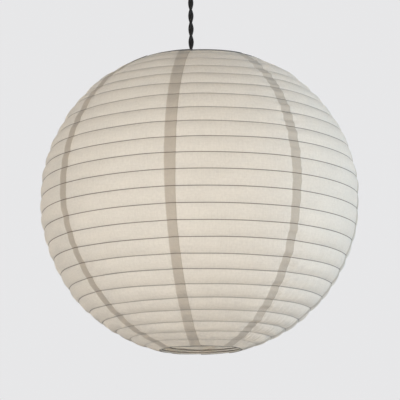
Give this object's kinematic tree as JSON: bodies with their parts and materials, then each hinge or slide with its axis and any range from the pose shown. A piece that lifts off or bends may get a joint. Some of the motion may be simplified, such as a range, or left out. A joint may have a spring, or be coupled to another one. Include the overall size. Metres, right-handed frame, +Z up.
{
  "type": "globe lantern shade",
  "caption": "Round globe lamp shade of lapped cloth panels over wire hoops, on a wire stretcher, hung from a ceiling cup by a twisted flex and lampholder.",
  "frame": {"origin": "middle of the ceiling strap's top face, on the flex's line", "axes": "+Z up to the ceiling, +X to the right seen from the front, -Y towards the front"},
  "size_m": [0.3988, 0.3988, 0.5245],
  "materials": {
    "linen_cloth": "matte linen-look cloth, plain weave",
    "hoop_wire": "dark thin spring wire",
    "frame_wire": "satin plated wire",
    "black_plastic": "satin black",
    "black_braid": "black textile braid over two twisted cores",
    "contact_ceramic": "unglazed",
    "opal_glass": "opal, lit",
    "nickel_cap": "plated",
    "black_paint": "satin black",
    "zinc_plate": "zinc plated",
    "black_rubber": "matte",
    "white_plastic": "matte"
  },
  "bodies": {
    "ceiling": {"ceiling_cup": "black_paint", "ceiling_bracket": "zinc_plate", "cup_screw_left": "zinc_plate", "cup_screw_right": "zinc_plate", "cup_grommet": "black_rubber", "terminal_block": "white_plastic"},
    "pendant": {"flex": "black_braid", "flex_grip": "black_plastic", "lampholder_cap": "black_plastic", "lampholder_skirt": "black_plastic", "lampholder_contact": "contact_ceramic"},
    "collar": {"shade_collar": "black_plastic"},
    "bulb": {"bulb_glass": "opal_glass", "bulb_cap": "nickel_cap"},
    "frame": {"holder_ring": "frame_wire", "arm_left": "frame_wire", "arm_right": "frame_wire", "side_wire_left": "frame_wire", "side_wire_right": "frame_wire", "top_ring": "hoop_wire", "gore_1": "linen_cloth", "gore_2": "linen_cloth", "gore_3": "linen_cloth", "gore_4": "linen_cloth", "gore_5": "linen_cloth", "gore_6": "linen_cloth", "gore_7": "linen_cloth", "gore_8": "linen_cloth"},
    "low_ring": {"bottom_ring": "hoop_wire"},
    "hoop_01_slide": {"hoop_01": "hoop_wire"},
    "hoop_02_slide": {"hoop_02": "hoop_wire"},
    "hoop_03_slide": {"hoop_03": "hoop_wire"},
    "hoop_04_slide": {"hoop_04": "hoop_wire"},
    "hoop_05_slide": {"hoop_05": "hoop_wire"},
    "hoop_06_slide": {"hoop_06": "hoop_wire"},
    "hoop_07_slide": {"hoop_07": "hoop_wire"},
    "hoop_08_slide": {"hoop_08": "hoop_wire"},
    "hoop_09_slide": {"hoop_09": "hoop_wire"},
    "hoop_10_slide": {"hoop_10": "hoop_wire"},
    "hoop_11_slide": {"hoop_11": "hoop_wire"},
    "hoop_12_slide": {"hoop_12": "hoop_wire"},
    "hoop_13_slide": {"hoop_13": "hoop_wire"},
    "hoop_14_slide": {"hoop_14": "hoop_wire"},
    "hoop_15_slide": {"hoop_15": "hoop_wire"},
    "hoop_16_slide": {"hoop_16": "hoop_wire"},
    "hoop_17_slide": {"hoop_17": "hoop_wire"},
    "hoop_18_slide": {"hoop_18": "hoop_wire"},
    "hoop_19_slide": {"hoop_19": "hoop_wire"},
    "hoop_20_slide": {"hoop_20": "hoop_wire"},
    "hoop_21_slide": {"hoop_21": "hoop_wire"},
    "hoop_22_slide": {"hoop_22": "hoop_wire"},
    "hoop_23_slide": {"hoop_23": "hoop_wire"}
  },
  "joints": [
    {"name": "swing", "type": "hinge", "parent": "ceiling", "child": "pendant", "pos_m": [0.00637, 0, -0.0444], "axis": [0, 1, 0], "range_deg": [-12, 12]},
    {"name": "shade_turn", "type": "hinge", "parent": "pendant", "child": "frame", "pos_m": [0, 0, -0.2585], "axis": [0, 0, 1], "continuous": true},
    {"name": "collar_turn", "type": "hinge", "parent": "pendant", "child": "collar", "pos_m": [0, 0, -0.265], "axis": [0, 0, 1], "continuous": true},
    {"name": "bulb_turn", "type": "hinge", "parent": "pendant", "child": "bulb", "pos_m": [0, 0, -0.335], "axis": [0, 0, 1], "continuous": true},
    {"name": "collapse", "type": "slide", "parent": "frame", "child": "low_ring", "axis": [0, 0, 1], "range_m": [0, 0.3266], "deforming": ["gore_1", "gore_2", "gore_3", "gore_4", "gore_5", "gore_6", "gore_7", "gore_8"]},
    {"name": "hoop_01_rise", "type": "slide", "parent": "frame", "child": "hoop_01_slide", "axis": [0, 0, 1], "range_m": [0, 0.00706]},
    {"name": "hoop_02_rise", "type": "slide", "parent": "frame", "child": "hoop_02_slide", "axis": [0, 0, 1], "range_m": [0, 0.01682]},
    {"name": "hoop_03_rise", "type": "slide", "parent": "frame", "child": "hoop_03_slide", "axis": [0, 0, 1], "range_m": [0, 0.02806]},
    {"name": "hoop_04_rise", "type": "slide", "parent": "frame", "child": "hoop_04_slide", "axis": [0, 0, 1], "range_m": [0, 0.04068]},
    {"name": "hoop_05_rise", "type": "slide", "parent": "frame", "child": "hoop_05_slide", "axis": [0, 0, 1], "range_m": [0, 0.05456]},
    {"name": "hoop_06_rise", "type": "slide", "parent": "frame", "child": "hoop_06_slide", "axis": [0, 0, 1], "range_m": [0, 0.06955]},
    {"name": "hoop_07_rise", "type": "slide", "parent": "frame", "child": "hoop_07_slide", "axis": [0, 0, 1], "range_m": [0, 0.08551]},
    {"name": "hoop_08_rise", "type": "slide", "parent": "frame", "child": "hoop_08_slide", "axis": [0, 0, 1], "range_m": [0, 0.10227]},
    {"name": "hoop_09_rise", "type": "slide", "parent": "frame", "child": "hoop_09_slide", "axis": [0, 0, 1], "range_m": [0, 0.11965]},
    {"name": "hoop_10_rise", "type": "slide", "parent": "frame", "child": "hoop_10_slide", "axis": [0, 0, 1], "range_m": [0, 0.13746]},
    {"name": "hoop_11_rise", "type": "slide", "parent": "frame", "child": "hoop_11_slide", "axis": [0, 0, 1], "range_m": [0, 0.1555]},
    {"name": "hoop_12_rise", "type": "slide", "parent": "frame", "child": "hoop_12_slide", "axis": [0, 0, 1], "range_m": [0, 0.17356]},
    {"name": "hoop_13_rise", "type": "slide", "parent": "frame", "child": "hoop_13_slide", "axis": [0, 0, 1], "range_m": [0, 0.19146]},
    {"name": "hoop_14_rise", "type": "slide", "parent": "frame", "child": "hoop_14_slide", "axis": [0, 0, 1], "range_m": [0, 0.20898]},
    {"name": "hoop_15_rise", "type": "slide", "parent": "frame", "child": "hoop_15_slide", "axis": [0, 0, 1], "range_m": [0, 0.22594]},
    {"name": "hoop_16_rise", "type": "slide", "parent": "frame", "child": "hoop_16_slide", "axis": [0, 0, 1], "range_m": [0, 0.24215]},
    {"name": "hoop_17_rise", "type": "slide", "parent": "frame", "child": "hoop_17_slide", "axis": [0, 0, 1], "range_m": [0, 0.25744]},
    {"name": "hoop_18_rise", "type": "slide", "parent": "frame", "child": "hoop_18_slide", "axis": [0, 0, 1], "range_m": [0, 0.27165]},
    {"name": "hoop_19_rise", "type": "slide", "parent": "frame", "child": "hoop_19_slide", "axis": [0, 0, 1], "range_m": [0, 0.28465]},
    {"name": "hoop_20_rise", "type": "slide", "parent": "frame", "child": "hoop_20_slide", "axis": [0, 0, 1], "range_m": [0, 0.2963]},
    {"name": "hoop_21_rise", "type": "slide", "parent": "frame", "child": "hoop_21_slide", "axis": [0, 0, 1], "range_m": [0, 0.3065]},
    {"name": "hoop_22_rise", "type": "slide", "parent": "frame", "child": "hoop_22_slide", "axis": [0, 0, 1], "range_m": [0, 0.31515]},
    {"name": "hoop_23_rise", "type": "slide", "parent": "frame", "child": "hoop_23_slide", "axis": [0, 0, 1], "range_m": [0, 0.32218]}
  ],
  "couplings": [
    {"joint": "hoop_01_rise", "follows": "collapse", "ratio": 0.021},
    {"joint": "hoop_02_rise", "follows": "collapse", "ratio": 0.05088},
    {"joint": "hoop_03_rise", "follows": "collapse", "ratio": 0.08531},
    {"joint": "hoop_04_rise", "follows": "collapse", "ratio": 0.12394},
    {"joint": "hoop_05_rise", "follows": "collapse", "ratio": 0.16643},
    {"joint": "hoop_06_rise", "follows": "collapse", "ratio": 0.21234},
    {"joint": "hoop_07_rise", "follows": "collapse", "ratio": 0.26121},
    {"joint": "hoop_08_rise", "follows": "collapse", "ratio": 0.31253},
    {"joint": "hoop_09_rise", "follows": "collapse", "ratio": 0.36574},
    {"joint": "hoop_10_rise", "follows": "collapse", "ratio": 0.42026},
    {"joint": "hoop_11_rise", "follows": "collapse", "ratio": 0.47549},
    {"joint": "hoop_12_rise", "follows": "collapse", "ratio": 0.53081},
    {"joint": "hoop_13_rise", "follows": "collapse", "ratio": 0.5856},
    {"joint": "hoop_14_rise", "follows": "collapse", "ratio": 0.63925},
    {"joint": "hoop_15_rise", "follows": "collapse", "ratio": 0.69117},
    {"joint": "hoop_16_rise", "follows": "collapse", "ratio": 0.7408},
    {"joint": "hoop_17_rise", "follows": "collapse", "ratio": 0.78762},
    {"joint": "hoop_18_rise", "follows": "collapse", "ratio": 0.83114},
    {"joint": "hoop_19_rise", "follows": "collapse", "ratio": 0.87093},
    {"joint": "hoop_20_rise", "follows": "collapse", "ratio": 0.90661},
    {"joint": "hoop_21_rise", "follows": "collapse", "ratio": 0.93783},
    {"joint": "hoop_22_rise", "follows": "collapse", "ratio": 0.96433},
    {"joint": "hoop_23_rise", "follows": "collapse", "ratio": 0.98585}
  ]
}
